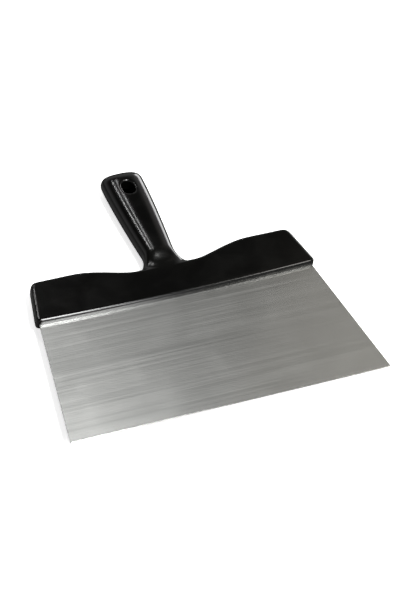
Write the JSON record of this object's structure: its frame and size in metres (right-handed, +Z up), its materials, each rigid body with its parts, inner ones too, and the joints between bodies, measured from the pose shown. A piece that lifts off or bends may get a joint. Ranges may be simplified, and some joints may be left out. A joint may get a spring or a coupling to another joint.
{
  "type": "bench scraper",
  "caption": "Wide flat scraper: a flared brushed-steel blade held in a low moulded plastic wing, with a straight grip behind it and a hang hole at the grip's tip.",
  "frame": {"origin": "centre of the bounding box in X and Y, at the height of the lowest point, which is the underside of the grip near its tip", "axes": "+X across the blade along the cutting edge, +Y from the cutting edge towards the tip of the grip, +Z up, square to the blade"},
  "size_m": [0.28, 0.2608, 0.02],
  "materials": {
    "blade_steel": "stainless steel brushed along the cutting edge",
    "handle_plastic": "black moulded plastic with a soft gloss",
    "pin_steel": "plain drawn steel, hidden"
  },
  "bodies": {
    "root": {"blade": "blade_steel", "handle_upper_shell": "handle_plastic", "handle_lower_shell": "handle_plastic", "blade_pin_1": "pin_steel", "blade_pin_2": "pin_steel", "blade_pin_3": "pin_steel", "blade_pin_4": "pin_steel", "blade_pin_5": "pin_steel", "blade_pin_6": "pin_steel"}
  },
  "joints": []
}
